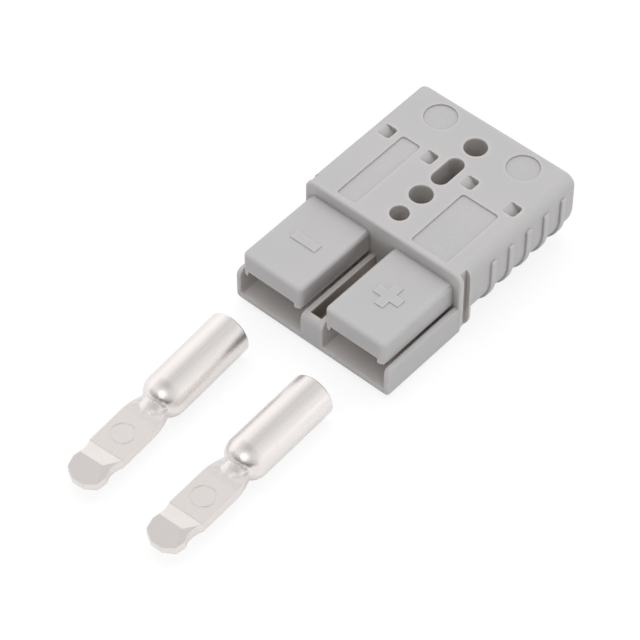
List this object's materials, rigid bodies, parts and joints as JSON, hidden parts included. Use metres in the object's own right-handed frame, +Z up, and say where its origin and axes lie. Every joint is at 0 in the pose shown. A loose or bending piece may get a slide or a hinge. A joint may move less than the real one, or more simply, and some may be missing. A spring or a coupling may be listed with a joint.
{
  "type": "genderless power connector",
  "caption": "Moulded genderless power connector half with hooded sockets, ribbed grip and through holes, beside its loose plated crimp contacts.",
  "frame": {"origin": "centre of the housing's underside, halfway between the mating end and the cable end", "axes": "+Z up out of the top face with the holes, -Y towards the mating end and the loose contacts, +X towards the positive pole"},
  "size_m": [0.0578, 0.1587, 0.0254],
  "materials": {
    "housing_plastic": "fine moulded texture, light grey",
    "plated_copper": "bright silver plating, softly satin",
    "spring_steel": "rolled strip"
  },
  "bodies": {
    "root": {"housing": "housing_plastic", "negative_contact": "plated_copper", "positive_contact": "plated_copper", "negative_spring": "spring_steel", "positive_spring": "spring_steel"}
  },
  "joints": []
}
